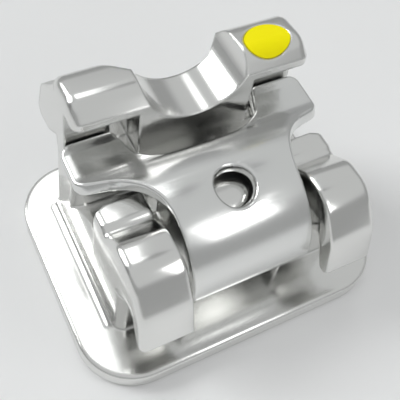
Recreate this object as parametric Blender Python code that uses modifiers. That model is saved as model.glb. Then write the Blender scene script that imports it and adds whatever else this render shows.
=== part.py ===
"""Self-ligating orthodontic bracket: a one-piece moulded steel body, a folded
spring clip that slides to open the archwire slot, and an enamel dot.

Frame: +X along the archwire (towards the dot), +Y gingival, +Z labial, away
from the tooth. The origin is the middle of the pad's bonding face.
Sizes are in millimetres; each finished mesh is turned into metres at the end.
"""

from math import cos, pi, radians, sin, tan

import bmesh
import bpy
from mathutils import Matrix, Vector

METRE_PER_MM = 0.001
ARC_STEP = radians(8)
WELD = 0.0005
SETTLE = 0.004
FLAT = radians(0.2)
SHARP = radians(40)

# Bonding pad
PAD_LENGTH = 3.57
PAD_OCCLUSAL = -1.45
PAD_GINGIVAL = 1.34
PAD_THICKNESS = 0.25
PAD_CORNER = 0.62
PAD_EDGE = 0.045
GRID_RIM = 0.16
GRID_PITCH = 0.34
GRID_GROOVE = 0.10
GRID_DEPTH = 0.07

# Base block
BLOCK_HALF_LENGTH = 1.366
BLOCK_OCCLUSAL = -0.88
BLOCK_GINGIVAL = 0.91
BLOCK_CORNER = 0.11
UNDERCUT_TOP = 1.0
SIDE_TAPER = 0.05
TAPER_ZONE = 0.166
RAIL_WIDTH = 0.144
RAIL_HEIGHT = 0.13
RAIL_OCCLUSAL = -0.78
RAIL_GINGIVAL = 0.84

# Archwire slot
SLOT_WIDTH = 0.46
SLOT_DEPTH = 0.71
SLOT_MIDDLE = 0.15
LEAD_LENGTH = 0.20
LEAD_DEPTH = 0.09
LEDGE_FALL = 0.09

# Gingival wings
WING_TOP = 2.29
WING_HALF_HEIGHT = 0.25
WING_REACH = 0.48
WING_EDGE = 0.11
LEDGE_LENGTH = 0.28
LIP_THICKNESS = 0.09
LIP_CORNER = 0.24
BEAK_BOTTOM = 1.30
BEAK_ROUNDING = 0.055
BEAK_ROOT = 0.20
HOOK_LENGTH = 0.31
HOOK_RISE = 0.03
HOOK_ROUNDING = 0.10
NOSE_LENGTH = 0.06
NOSE_HEIGHT = 0.10
NECK_LENGTH = 0.11
NECK_FALL = 0.49
NECK_ROUNDING = 0.30
SHOULDER_LENGTH = 0.46
SHOULDER_FALL = 0.04
SHOULDER_ROUNDING = 0.22
LIP_RUN = 0.17
LIP_ROUNDING = 0.25
LIP_ROOT_ROUNDING = 0.05
SADDLE_RADIUS = 0.57
SADDLE_ABOVE = 0.08

# Cuts in plan that part and trim the beaks, run from the notch's left end and the block's back
NOTCH_HALF_LENGTH = 0.77
NOTCH_FLOOR = 1.15
NOTCH_CORNER = 0.05
BEND_RUN = 1.37
BEND_DEPTH = 0.22
BEND_ROUNDING = 0.20
FLARE_RUN = 1.65
FLARE_DEPTH = 0.35
FLARE_ROUNDING = 0.10
NOTCH_MOUTH_RIGHT = 1.77
NOTCH_MOUTH_LEFT = 0.43
SLANT_RUN = 0.16
SLANT_DEPTH = 0.12
SLANT_ROUNDING = 0.12
SHAVE_START = 0.23
SHAVE_INSET = 0.18
SHAVE_ROUNDING = 0.12
SHAVE_MIDDLE = 0.49
SHAVE_MIDDLE_INSET = 0.05
SHAVE_MIDDLE_ROUNDING = 0.10
SHAVE_END = 0.57
SHAVE_DEPTH = 0.19
SHAVE_MOUTH = 0.69
CORNER_CUT = 0.25
CORNER_MOUTH = 0.24
CORNER_DEPTH = 0.17
CORNER_ROUNDING = 0.35
CORNER_SIDE_CUT = 0.10
CORNER_SIDE_INSET = 0.16
CORNER_SIDE_ROUNDING = 0.20
CORNER_START = 0.31
LIP_CORNER_OVER = 0.01

# Central wall, and the crown the clip slides over
WALL_HALF_LENGTH = 0.62
CROWN_HALF_LENGTH = 0.60

# Occlusal claws
CLAW_INNER = 0.77
CLAW_EDGE = 0.062
CLAW_INNER_EDGE = 0.03
CLAW_TOP = 1.63
CLAW_FALL = 0.15
CLAW_TIP = 0.78
CLAW_REACH = 0.51
CLAW_ROUNDING = 0.066
STEP_BACK = 0.58
STEP_ROUNDING = 0.10
DIP_RUN = 0.07
DIP_FALL = 0.05
DIP_ROUNDING = 0.06
RAMP_RUN = 0.32
RAMP_ROUNDING = 0.20
BROW_BACK = 0.41
BROW_RISE = 0.01
BROW_ROUNDING = 0.35
CHEEK_BACK = 0.12
CHEEK_FALL = 0.38
CHEEK_ROUNDING = 0.50
CLAW_TIP_WIDTH = 0.14
CLAW_TIP_FALL = 0.03
THROAT_BACK = 0.27
THROAT_RISE = 0.20
THROAT_ROUNDING = 0.15
ROOT_BACK = 0.35
ROOT_RISE = 0.35
ROOT_ROUNDING = 0.08
ROOT_OVER = 0.02

# Spring clip, laid out flat from its labial tip to the end of its tail
SHEET = 0.14
SHEET_EDGE = 0.035
CLIP_CLEARANCE = 0.02
TAB_OVER = 0.01
TONGUE_HALF_LENGTH = 0.675
RETURN_HALF_LENGTH = 0.56
TAIL_HALF_LENGTH = 0.45
TAB_LEVEL = 1.505
TIP_SHORT = 0.025
TIP_LENGTH = 0.11
TIP_RISE = 0.045
CROWN_RADIUS = 0.75
CROWN_MIDDLE = -0.30
CROWN_TOP = 1.665
FOLD_RADIUS = 0.10
FOLD_LEVEL = 0.86
TAIL_START_Y = -0.62
TAIL_SHORT = 0.29
SLIDE_TILT = radians(16)
HOLE_Y = -0.47
HOLE_RADIUS = 0.205
TAB_TIP_LIFT = 0.015
CREASE_ROUNDING = 0.10
TAB_BEND = 0.25
FOLD_DROP = 0.36
FRONT_Y = 0.145
FRONT_ROUNDING = 0.5
DIP_HALF_LENGTH = 0.42
DIP_Y = 0.16
SCALLOP_HALF_LENGTH = 0.70
SCALLOP_Y = 0.33
SCALLOP_ROUNDING = 0.12
TAB_INNER = 0.80
TAB_INNER_ROUNDING = 0.08
TAB_CORNER = 0.13
TAB_BACK_Y = 0.11
TAB_BACK_ROUNDING = 0.16
NECK_Y = -0.10
NECK_BEND = 0.68
WAIST_CORNER = 0.10
WAIST_STEP = 0.03
STRIP_CORNER = 0.06
TAIL_CORNER = 0.10

# Enamel dot
DOT_INSET = 0.503
DOT_BACK = 0.268
DOT_HALF_LENGTH = 0.25
DOT_HALF_WIDTH = 0.198
DOT_THICKNESS = 0.05
DOT_PROUD = 0.008
DOT_GAP = 0.005

# Clearances and overlaps
CHANNEL_CLEARANCE = 0.03
CROWN_GAP = 0.10
EMBED = 0.10
CUT_OVER = 0.18
TOOL_OVER = 0.30


# Worked out from the sizes above
CROWN_CENTRE_Z = CROWN_TOP - CROWN_RADIUS
FOLD_Y = CROWN_MIDDLE - CROWN_RADIUS
SEAT_RADIUS = CROWN_RADIUS - SHEET / 2 - CROWN_GAP
LEDGE_TOP = TAB_LEVEL - SHEET / 2 - CLIP_CLEARANCE
SLOT_FLOOR = LEDGE_TOP + LEDGE_FALL - SLOT_DEPTH
SLOT_CUT_TOP = LEDGE_TOP + CUT_OVER
LIP_FRONT = SLOT_MIDDLE + SLOT_WIDTH / 2
LEDGE_BACK = LIP_FRONT + LEDGE_LENGTH
LIP_BOTTOM = WING_TOP - WING_HALF_HEIGHT
CLAW_STEP = CLAW_TOP - CLAW_FALL
TAB_HALF_LENGTH = BLOCK_HALF_LENGTH + TAB_OVER
TIP_Y = LEDGE_BACK - TIP_SHORT
CREASE_Y = TIP_Y - TIP_LENGTH
TAIL_END_Y = BLOCK_GINGIVAL - TAIL_SHORT
DOT_X = BLOCK_HALF_LENGTH - DOT_INSET
DOT_Y = LIP_FRONT + DOT_BACK
TAIL_HALF_DEPTH = SHEET / 2 / cos(SLIDE_TILT)
TAIL_END_Z = PAD_THICKNESS + CHANNEL_CLEARANCE + TAIL_HALF_DEPTH
TAIL_START_Z = TAIL_END_Z + (TAIL_END_Y - TAIL_START_Y) * tan(SLIDE_TILT)


def clear_scene():
    for obj in list(bpy.data.objects):
        bpy.data.objects.remove(obj, do_unlink=True)


def rounded(corners, closed=True):
    """Points along an outline; a corner (u, v, radius) becomes an arc that its edges leave room for."""
    count = len(corners)
    spots = [Vector(corner[:2]) for corner in corners]
    halves = []
    reaches = []
    for index, corner in enumerate(corners):
        ends = not closed and index in (0, count - 1)
        before = spots[index - 1] - spots[index]
        after = spots[(index + 1) % count] - spots[index]
        halves.append(before.angle(after) / 2)
        reaches.append(0.0 if ends or len(corner) < 3 else corner[2] / tan(halves[-1]))
    points = []
    for index, spot in enumerate(spots):
        if reaches[index] == 0.0:
            points.append(spot)
            continue
        before = spots[index - 1] - spot
        after = spots[(index + 1) % count] - spot
        room_before = before.length / max(before.length, reaches[index] + reaches[index - 1])
        room_after = after.length / max(after.length, reaches[index] + reaches[(index + 1) % count])
        reach = reaches[index] * min(room_before, room_after)
        half = halves[index]
        middle = spot + (before.normalized() + after.normalized()).normalized() * reach / cos(half)
        start = spot + before.normalized() * reach - middle
        turn = (pi - 2 * half) * (1 if before.cross(after) < 0 else -1)
        steps = max(2, round(abs(turn) / ARC_STEP))
        for step in range(steps + 1):
            angle = turn * step / steps
            spun = Vector((start.x * cos(angle) - start.y * sin(angle),
                           start.x * sin(angle) + start.y * cos(angle)))
            points.append(middle + spun)
    return [point for index, point in enumerate(points)
            if index == 0 or (point - points[index - 1]).length > 2 * WELD]


def to_mesh(obj, flat=False):
    """Turn a curve, or a mesh with modifiers, into a plain welded mesh."""
    graph = bpy.context.evaluated_depsgraph_get()
    mesh = bpy.data.meshes.new_from_object(obj.evaluated_get(graph))
    mesh.transform(obj.matrix_world)
    name = obj.name
    bpy.data.objects.remove(obj, do_unlink=True)
    edit = bmesh.new()
    edit.from_mesh(mesh)
    bmesh.ops.remove_doubles(edit, verts=edit.verts, dist=WELD)
    bmesh.ops.dissolve_degenerate(edit, dist=WELD, edges=edit.edges)
    if flat:
        bmesh.ops.dissolve_limit(edit, angle_limit=FLAT, verts=edit.verts, edges=edit.edges)
    bmesh.ops.recalc_face_normals(edit, faces=edit.faces)
    edit.to_mesh(mesh)
    edit.free()
    made = bpy.data.objects.new(name, mesh)
    bpy.context.scene.collection.objects.link(made)
    return made


PLANES = {
    "XY": Matrix(((1, 0, 0, 0), (0, 1, 0, 0), (0, 0, 1, 0), (0, 0, 0, 1))),
    "YZ": Matrix(((0, 0, 1, 0), (1, 0, 0, 0), (0, 1, 0, 0), (0, 0, 0, 1))),
    "XZ": Matrix(((1, 0, 0, 0), (0, 0, -1, 0), (0, 1, 0, 0), (0, 0, 0, 1))),
}


def prism(name, plane, corners, low, high):
    """A flat outline in the plane, extruded from low to high across it."""
    curve = bpy.data.curves.new(name, "CURVE")
    curve.dimensions = "2D"
    curve.fill_mode = "BOTH"
    curve.extrude = (high - low) / 2
    points = rounded(corners)
    spline = curve.splines.new("POLY")
    spline.points.add(len(points) - 1)
    for target, point in zip(spline.points, points):
        target.co = (point.x, point.y, 0, 1)
    spline.use_cyclic_u = True
    obj = bpy.data.objects.new(name, curve)
    bpy.context.scene.collection.objects.link(obj)
    middle = (low + high) / 2
    obj.matrix_world = PLANES[plane] @ Matrix.Translation((0, 0, middle if plane != "XZ" else -middle))
    bpy.context.view_layer.update()
    return to_mesh(obj, True)


def cylinder(name, radius, depth, matrix, sides=48):
    mesh = bpy.data.meshes.new(name)
    edit = bmesh.new()
    bmesh.ops.create_cone(edit, cap_ends=True, segments=sides, radius1=radius, radius2=radius,
                          depth=depth, matrix=matrix)
    edit.to_mesh(mesh)
    edit.free()
    obj = bpy.data.objects.new(name, mesh)
    bpy.context.scene.collection.objects.link(obj)
    return obj


def combine(target, other, operation):
    """Apply an exact Boolean and remove the second shape."""
    boolean = target.modifiers.new(operation, "BOOLEAN")
    boolean.operation = operation
    boolean.solver = "EXACT"
    boolean.object = other
    bpy.context.view_layer.update()
    made = to_mesh(target)
    bpy.data.objects.remove(other, do_unlink=True)
    return made


def soften(obj, width, segments, chosen):
    """Round the sharp edges whose middle is chosen."""
    edit = bmesh.new()
    edit.from_mesh(obj.data)
    layers = edit.edges.layers.float
    weights = layers.get("bevel_weight_edge") or layers.new("bevel_weight_edge")
    for edge in edit.edges:
        middle = (edge.verts[0].co + edge.verts[1].co) / 2
        edge[weights] = float(edge.calc_face_angle(0) > SHARP and chosen(middle))
    edit.to_mesh(obj.data)
    edit.free()
    bevel = obj.modifiers.new("Rounding", "BEVEL")
    bevel.width = width
    bevel.segments = segments
    bevel.limit_method = "WEIGHT"
    bevel.use_clamp_overlap = False
    bpy.context.view_layer.update()
    return to_mesh(obj)


def lead_in(name, side):
    """The flared mouth of the slot, cut into one end of the block."""
    mesh = bpy.data.meshes.new(name)
    edit = bmesh.new()
    bmesh.ops.create_cube(edit, size=2.0)
    inner = BLOCK_HALF_LENGTH - LEAD_LENGTH
    outer = BLOCK_HALF_LENGTH + LEAD_LENGTH
    for vert in edit.verts:
        flare = 0.0 if vert.co.x < 0 else LEAD_DEPTH * (outer - inner) / LEAD_LENGTH
        half = SLOT_WIDTH / 2 + flare
        vert.co.y = SLOT_MIDDLE + (half if vert.co.y > 0 else -half)
        vert.co.z = SLOT_CUT_TOP if vert.co.z > 0 else SLOT_FLOOR - flare
        vert.co.x = side * (inner if vert.co.x < 0 else outer)
    edit.normal_update()
    bmesh.ops.recalc_face_normals(edit, faces=edit.faces)
    edit.to_mesh(mesh)
    edit.free()
    obj = bpy.data.objects.new(name, mesh)
    bpy.context.scene.collection.objects.link(obj)
    return obj


def pad_outline(inset):
    half = PAD_LENGTH / 2 - inset
    low = PAD_OCCLUSAL + inset
    high = PAD_GINGIVAL - inset
    corner = PAD_CORNER - inset
    return [(-half, low, corner), (half, low, corner), (half, high, corner), (-half, high, corner)]


def pad():
    """The bonding pad, its underside recessed round a grid of square pegs."""
    plate = soften(prism("pad", "XY", pad_outline(0), 0, PAD_THICKNESS), PAD_EDGE, 3,
                   lambda spot: True)
    recess = prism("recess", "XY", pad_outline(GRID_RIM), -GRID_DEPTH, GRID_DEPTH)
    peg = (GRID_PITCH - GRID_GROOVE) / 2
    columns = int((PAD_LENGTH / 2 - PAD_CORNER / 2 - GRID_RIM) / GRID_PITCH)
    rows = int((PAD_GINGIVAL - PAD_CORNER / 2 - GRID_RIM) / GRID_PITCH)
    for column in range(-columns, columns + 1):
        for row in range(-rows, rows + 1):
            x = column * GRID_PITCH
            y = row * GRID_PITCH
            square = [(x - peg, y - peg), (x + peg, y - peg), (x + peg, y + peg), (x - peg, y + peg)]
            recess = combine(recess, prism("peg", "XY", square, -2 * GRID_DEPTH, 2 * GRID_DEPTH),
                             "DIFFERENCE")
    return combine(plate, recess, "DIFFERENCE")


def rail(side):
    """The concave fillet between the block's side and the pad, cut off square at both ends."""
    foot = BLOCK_HALF_LENGTH + RAIL_WIDTH
    wall = BLOCK_HALF_LENGTH - RAIL_WIDTH
    top = PAD_THICKNESS + RAIL_HEIGHT
    low = PAD_THICKNESS - EMBED
    outline = [(wall, low), (foot, low), (foot, PAD_THICKNESS),
               (BLOCK_HALF_LENGTH, PAD_THICKNESS, RAIL_HEIGHT * 0.9), (BLOCK_HALF_LENGTH, top), (wall, top)]
    if side < 0:
        outline = [(-point[0], *point[1:]) for point in reversed(outline)]
    return prism("rail", "XZ", outline, RAIL_OCCLUSAL, RAIL_GINGIVAL)


def block(name, occlusal, gingival, low, high):
    """A storey of the base block, with its upright corners rounded."""
    half = BLOCK_HALF_LENGTH
    first = BLOCK_CORNER if occlusal == BLOCK_OCCLUSAL else 0.0
    outline = [(-half, occlusal, first), (half, occlusal, first),
               (half, gingival, BLOCK_CORNER), (-half, gingival, BLOCK_CORNER)]
    return prism(name, "XY", [point if point[2] else point[:2] for point in outline], low, high)


def wing_outline(rise=0.0):
    """The wings seen from the side: ledge, hooked beak, rounded top and front lip."""
    beak = BLOCK_GINGIVAL + WING_REACH
    return [(LEDGE_BACK, LEDGE_TOP - EMBED), (BLOCK_GINGIVAL - EMBED, LEDGE_TOP - EMBED),
            (BLOCK_GINGIVAL - EMBED / 2, BEAK_BOTTOM + BEAK_ROOT),
            (beak - HOOK_LENGTH, BEAK_BOTTOM + HOOK_RISE, HOOK_ROUNDING),
            (beak - NOSE_LENGTH, BEAK_BOTTOM, BEAK_ROUNDING),
            (beak, BEAK_BOTTOM + NOSE_HEIGHT, BEAK_ROUNDING),
            (beak - NECK_LENGTH, WING_TOP - NECK_FALL, NECK_ROUNDING),
            (beak - SHOULDER_LENGTH, WING_TOP - SHOULDER_FALL + rise, SHOULDER_ROUNDING),
            (LIP_FRONT + LIP_RUN, WING_TOP + rise, LIP_ROUNDING),
            (LIP_FRONT - rise, LIP_BOTTOM + LIP_THICKNESS), (LIP_FRONT - rise, LIP_BOTTOM),
            (LEDGE_BACK, LIP_BOTTOM, LIP_ROOT_ROUNDING)]


def gingival_wings():
    """One beaked section the length of the block; the saddle later parts it into two wings."""
    wings = prism("wings", "YZ", wing_outline(), -BLOCK_HALF_LENGTH, BLOCK_HALF_LENGTH)
    shoulder = BLOCK_GINGIVAL + WING_REACH / 2
    return soften(wings, WING_EDGE, 3, lambda spot: abs(spot.x) > BLOCK_HALF_LENGTH - TAPER_ZONE
                  and spot.z > LIP_BOTTOM + LIP_THICKNESS / 2 and spot.y < shoulder)


def claw(side):
    """An occlusal tie claw: a low front bulge, a step, then the long hooked beak."""
    tip = BLOCK_OCCLUSAL - CLAW_REACH
    step = BLOCK_OCCLUSAL + STEP_BACK
    outline = [(SLOT_MIDDLE, UNDERCUT_TOP - EMBED), (SLOT_MIDDLE, CLAW_STEP),
               (step, CLAW_STEP, STEP_ROUNDING),
               (step - DIP_RUN, CLAW_STEP - DIP_FALL, DIP_ROUNDING),
               (step - RAMP_RUN, CLAW_TOP, RAMP_ROUNDING),
               (tip + BROW_BACK, CLAW_TOP + BROW_RISE, BROW_ROUNDING),
               (tip + CHEEK_BACK, CLAW_TOP - CHEEK_FALL, CHEEK_ROUNDING),
               (tip, CLAW_TIP, CLAW_ROUNDING),
               (tip + CLAW_TIP_WIDTH, CLAW_TIP - CLAW_TIP_FALL, CLAW_ROUNDING),
               (tip + THROAT_BACK, CLAW_TIP + THROAT_RISE, THROAT_ROUNDING),
               (tip + ROOT_BACK, CLAW_TIP + ROOT_RISE, ROOT_ROUNDING),
               (BLOCK_OCCLUSAL + EMBED, UNDERCUT_TOP + ROOT_OVER),
               (BLOCK_OCCLUSAL + EMBED, UNDERCUT_TOP - EMBED)]
    low = CLAW_INNER if side > 0 else -BLOCK_HALF_LENGTH
    high = BLOCK_HALF_LENGTH if side > 0 else -CLAW_INNER
    shape = prism("claw", "YZ", outline, low, high)
    shape = soften(shape, CLAW_EDGE, 3, lambda spot: abs(spot.x) > BLOCK_HALF_LENGTH - TAPER_ZONE)
    return soften(shape, CLAW_INNER_EDGE, 2, lambda spot: abs(spot.x) < CLAW_INNER + WELD)


def crown():
    """The rounded rise under the clip, over which the clip slides."""
    outline = [(SLOT_MIDDLE, UNDERCUT_TOP - EMBED), (SLOT_MIDDLE, CROWN_CENTRE_Z + SEAT_RADIUS),
               (BLOCK_OCCLUSAL, CROWN_CENTRE_Z + SEAT_RADIUS, SEAT_RADIUS),
               (BLOCK_OCCLUSAL, UNDERCUT_TOP - EMBED)]
    return prism("crown", "YZ", outline, -CROWN_HALF_LENGTH, CROWN_HALF_LENGTH)


def taper_sides(obj):
    """Lean the two end faces inwards, as they leave the mould."""
    for vert in obj.data.vertices:
        if abs(vert.co.x) > BLOCK_HALF_LENGTH - TAPER_ZONE:
            lean = SIDE_TAPER * (vert.co.z - PAD_THICKNESS)
            vert.co.x -= lean if vert.co.x > 0 else -lean


def central_wall():
    """The wall under the saddle, flush with the lips and the slot's side."""
    inner = LIP_FRONT + EMBED
    back = BLOCK_GINGIVAL - EMBED / 2
    low = LEDGE_TOP - TOOL_OVER
    outline = [(LIP_FRONT, LEDGE_TOP), (inner, low), (back, low), (back, LIP_BOTTOM + EMBED / 2),
               (inner, LIP_BOTTOM + EMBED / 2), (LIP_FRONT, LIP_BOTTOM)]
    return prism("wall", "YZ", outline, -WALL_HALF_LENGTH, WALL_HALF_LENGTH)


def saddle():
    middle = Vector((0, BLOCK_GINGIVAL, WING_TOP + SADDLE_ABOVE))
    matrix = Matrix.Translation(middle) @ Matrix.Rotation(pi / 2, 4, "X")
    return cylinder("saddle", SADDLE_RADIUS, 2 * (WING_REACH + BLOCK_GINGIVAL), matrix, 90)


def wing_notch():
    """The plan cut behind the saddle, which parts the beaks of the two wings."""
    back = BLOCK_GINGIVAL
    far = back + WING_REACH + TOOL_OVER
    left = -NOTCH_HALF_LENGTH
    outline = [(left, back), (left + NOTCH_FLOOR, back, NOTCH_CORNER),
               (left + BEND_RUN, back + BEND_DEPTH, BEND_ROUNDING),
               (left + FLARE_RUN, back + FLARE_DEPTH, FLARE_ROUNDING),
               (left + NOTCH_MOUTH_RIGHT, far), (left - NOTCH_MOUTH_LEFT, far),
               (left - SLANT_RUN, back + SLANT_DEPTH, SLANT_ROUNDING)]
    return prism("notch", "XY", outline, UNDERCUT_TOP, WING_TOP + TOOL_OVER)


def wing_shave():
    """The slanting cut across the left wing's inner gingival corner."""
    back = BLOCK_GINGIVAL
    left = -NOTCH_HALF_LENGTH
    outline = [(left + SHAVE_START, back - SHAVE_INSET, SHAVE_ROUNDING),
               (left + SHAVE_MIDDLE, back - SHAVE_MIDDLE_INSET, SHAVE_MIDDLE_ROUNDING),
               (left + SHAVE_END, back + SHAVE_DEPTH), (left - NOTCH_MOUTH_LEFT, back + SHAVE_MOUTH),
               (left - SLANT_RUN, back + SLANT_DEPTH, SLANT_ROUNDING)]
    return prism("shave", "XY", outline, LEDGE_TOP + 2 * EMBED, WING_TOP + TOOL_OVER)


def wing_corner():
    """The rounding of the right wing's outer gingival corner, in plan."""
    outer = BLOCK_HALF_LENGTH + EMBED
    back = BLOCK_GINGIVAL
    far = back + WING_REACH + TOOL_OVER
    cut = BLOCK_HALF_LENGTH - CORNER_CUT
    outline = [(outer, back - CORNER_START), (outer, far), (cut - CORNER_MOUTH, far),
               (cut, back + CORNER_DEPTH, CORNER_ROUNDING),
               (BLOCK_HALF_LENGTH - CORNER_SIDE_CUT, back - CORNER_SIDE_INSET, CORNER_SIDE_ROUNDING)]
    return prism("wing corner", "XY", outline, LEDGE_TOP + EMBED, WING_TOP + TOOL_OVER)


def lip_corner(side):
    """The slanting cut across a wing's outer front corner."""
    outer = BLOCK_HALF_LENGTH * side
    inner = (BLOCK_HALF_LENGTH - LIP_CORNER) * side
    front = LIP_FRONT - TOOL_OVER
    outline = [(inner, LIP_FRONT - LIP_CORNER_OVER), (inner, front), (outer, front),
               (outer, LIP_FRONT + LIP_CORNER)]
    return prism("lip corner", "XY", outline, LIP_BOTTOM - EMBED, WING_TOP + EMBED)


def tail_point(y):
    """Height of the tail's middle at y."""
    return TAIL_START_Z - (y - TAIL_START_Y) * tan(SLIDE_TILT)


def tail_channel():
    across = TAIL_HALF_DEPTH + CHANNEL_CLEARANCE
    start = TAIL_START_Y - EMBED / 2
    end = TAIL_END_Y + 2 * CHANNEL_CLEARANCE
    half = TAIL_HALF_LENGTH + CHANNEL_CLEARANCE
    outline = [(start, tail_point(start) - across), (end, tail_point(end) - across),
               (end, tail_point(end) + across), (start, tail_point(start) + across)]
    return prism("channel", "YZ", outline, -half, half)


def return_pocket():
    """The opening under the crown into which the clip folds back."""
    slope = (FOLD_LEVEL - TAIL_START_Z) / (TAIL_START_Y - FOLD_Y)
    across = (SHEET / 2 + CHANNEL_CLEARANCE) * (1 + slope ** 2) ** 0.5
    front = BLOCK_OCCLUSAL - EMBED
    back = TAIL_START_Y + CHANNEL_CLEARANCE
    outline = [(front, PAD_THICKNESS), (back, PAD_THICKNESS),
               (back, TAIL_START_Z + slope * (TAIL_START_Y - back) + across),
               (front, TAIL_START_Z + slope * (TAIL_START_Y - front) + across)]
    half = WALL_HALF_LENGTH
    return prism("pocket", "YZ", outline, -half, half)


def dot_column(name, gap):
    """An upright oval column at the dot, from below its seat to above the wing."""
    low = LIP_BOTTOM + LIP_THICKNESS / 2
    high = WING_TOP + EMBED
    place = Matrix.Translation((DOT_X, DOT_Y, (low + high) / 2))
    oval = Matrix.Diagonal((DOT_HALF_LENGTH + gap, DOT_HALF_WIDTH + gap, 1, 1))
    return cylinder(name, 1, high - low, place @ oval, 60)


def slot():
    side = SLOT_WIDTH / 2
    outline = [(SLOT_MIDDLE - side, SLOT_FLOOR), (SLOT_MIDDLE + side, SLOT_FLOOR),
               (SLOT_MIDDLE + side, SLOT_CUT_TOP), (SLOT_MIDDLE - side, SLOT_CUT_TOP)]
    return prism("slot", "YZ", outline, -2 * BLOCK_HALF_LENGTH, 2 * BLOCK_HALF_LENGTH)


def dot_seat():
    """The seat's floor follows the wing's rounded top."""
    under = prism("seat floor", "YZ", wing_outline(-DOT_THICKNESS), 0, 2 * BLOCK_HALF_LENGTH)
    column = dot_column("seat", DOT_GAP)
    return combine(column, under, "DIFFERENCE")


def bracket_body():
    body = block("body", BLOCK_OCCLUSAL, BLOCK_GINGIVAL, PAD_THICKNESS - EMBED, UNDERCUT_TOP)
    upper = block("upper", SLOT_MIDDLE - EMBED / 2, BLOCK_GINGIVAL, UNDERCUT_TOP - EMBED, LEDGE_TOP)
    for piece in (upper, gingival_wings(), claw(-1), claw(1)):
        body = combine(body, piece, "UNION")
    taper_sides(body)
    body = combine(body, crown(), "UNION")
    for cut in (slot(), lead_in("lead", -1), lead_in("lead", 1)):
        body = combine(body, cut, "DIFFERENCE")
    body = combine(body, central_wall(), "UNION")
    for cut in (saddle(), wing_notch(), wing_shave(), wing_corner(), lip_corner(-1), lip_corner(1),
                dot_seat(), return_pocket(), tail_channel()):
        body = combine(body, cut, "DIFFERENCE")
    for piece in (rail(-1), rail(1), pad()):
        body = combine(body, piece, "UNION")
    body.name = "bracket_body"
    return body


def clip_path():
    """The sheet's middle line, seen from the side, from the labial tip to the tail's end."""
    turn = pi / 6
    leave_y = CROWN_MIDDLE + CROWN_RADIUS * sin(turn)
    leave_z = CROWN_CENTRE_Z + CROWN_RADIUS * cos(turn)
    tab_y = leave_y + (leave_z - TAB_LEVEL) / tan(turn)
    corners = [(TIP_Y, TAB_LEVEL + TIP_RISE + TAB_TIP_LIFT),
               (CREASE_Y, TAB_LEVEL + TAB_TIP_LIFT, CREASE_ROUNDING), (tab_y, TAB_LEVEL, TAB_BEND),
               (FOLD_Y, leave_z + (leave_y - FOLD_Y) * tan(turn), CROWN_RADIUS),
               (FOLD_Y, FOLD_LEVEL, FOLD_RADIUS), (TAIL_START_Y, TAIL_START_Z),
               (TAIL_END_Y, tail_point(TAIL_END_Y))]
    return rounded(corners, closed=False)


def lengths_along(path):
    lengths = [0.0]
    for before, after in zip(path, path[1:]):
        lengths.append(lengths[-1] + (after - before).length)
    return lengths


def flat_place(path, lengths, y):
    """How far along the flat sheet the labial side crosses y."""
    for index, (before, after) in enumerate(zip(path, path[1:])):
        if after.x <= y <= before.x:
            share = (before.x - y) / (before.x - after.x)
            return lengths[index] + share * (lengths[index + 1] - lengths[index])
    raise ValueError("the sheet does not reach that place")


def clip_blank(path, lengths):
    """The sheet cut out flat: x across, y along, rounded on all its edges."""
    fold = lengths[-1] - (path[-1] - Vector((TAIL_START_Y, TAIL_START_Z))).length
    waist = fold - FOLD_DROP
    half = [(0.0, flat_place(path, lengths, FRONT_Y), FRONT_ROUNDING),
            (DIP_HALF_LENGTH, flat_place(path, lengths, DIP_Y), FRONT_ROUNDING),
            (SCALLOP_HALF_LENGTH, flat_place(path, lengths, SCALLOP_Y), SCALLOP_ROUNDING),
            (TAB_INNER, 0.0, TAB_INNER_ROUNDING), (TAB_HALF_LENGTH, 0.0, TAB_CORNER),
            (TAB_HALF_LENGTH, flat_place(path, lengths, TAB_BACK_Y), TAB_BACK_ROUNDING),
            (TONGUE_HALF_LENGTH, flat_place(path, lengths, NECK_Y), NECK_BEND),
            (TONGUE_HALF_LENGTH, waist - WAIST_CORNER, WAIST_CORNER),
            (RETURN_HALF_LENGTH, waist + WAIST_STEP, STRIP_CORNER),
            (RETURN_HALF_LENGTH, fold - STRIP_CORNER, STRIP_CORNER), (TAIL_HALF_LENGTH, fold, STRIP_CORNER),
            (TAIL_HALF_LENGTH, lengths[-1], TAIL_CORNER)]
    outline = half + [(-point[0], *point[1:]) for point in reversed(half[1:])]
    blank = prism("clip", "XY", outline, -SHEET / 2, SHEET / 2)
    place = Matrix.Translation((0, flat_place(path, lengths, HOLE_Y), 0))
    blank = combine(blank, cylinder("hole", HOLE_RADIUS, 3 * SHEET, place), "DIFFERENCE")
    return soften(blank, SHEET_EDGE, 2, lambda spot: True)


def fold_sheet(obj, path, lengths):
    """Crease the flat blank at each point of the path and carry it onto the path."""
    edit = bmesh.new()
    edit.from_mesh(obj.data)
    for place in lengths[1:-1]:
        for vert in edit.verts:
            if abs(vert.co.y - place) < SETTLE:
                vert.co.y = place
        everything = edit.verts[:] + edit.edges[:] + edit.faces[:]
        bmesh.ops.bisect_plane(edit, geom=everything, dist=WELD / 10, plane_co=(0, place, 0),
                               plane_no=(0, 1, 0))
    ways = [(after - before).normalized() for before, after in zip(path, path[1:])]
    for vert in edit.verts:
        place = vert.co.y
        index = 0
        while index < len(ways) - 1 and place > lengths[index + 1] + WELD:
            index += 1
        outward = Vector((-ways[index].y, ways[index].x))
        if abs(place - lengths[index + 1]) <= WELD and index + 1 < len(ways):
            outward = (outward + Vector((-ways[index + 1].y, ways[index + 1].x))) / 2
            outward /= outward.length_squared
        spot = path[index] + ways[index] * (place - lengths[index]) + outward * vert.co.z
        vert.co = Vector((vert.co.x, spot.x, spot.y))
    bmesh.ops.remove_doubles(edit, verts=edit.verts, dist=WELD)
    bmesh.ops.dissolve_degenerate(edit, dist=WELD, edges=edit.edges)
    bmesh.ops.triangulate(edit, faces=edit.faces)
    bmesh.ops.recalc_face_normals(edit, faces=edit.faces)
    edit.to_mesh(obj.data)
    edit.free()
    return obj


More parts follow.
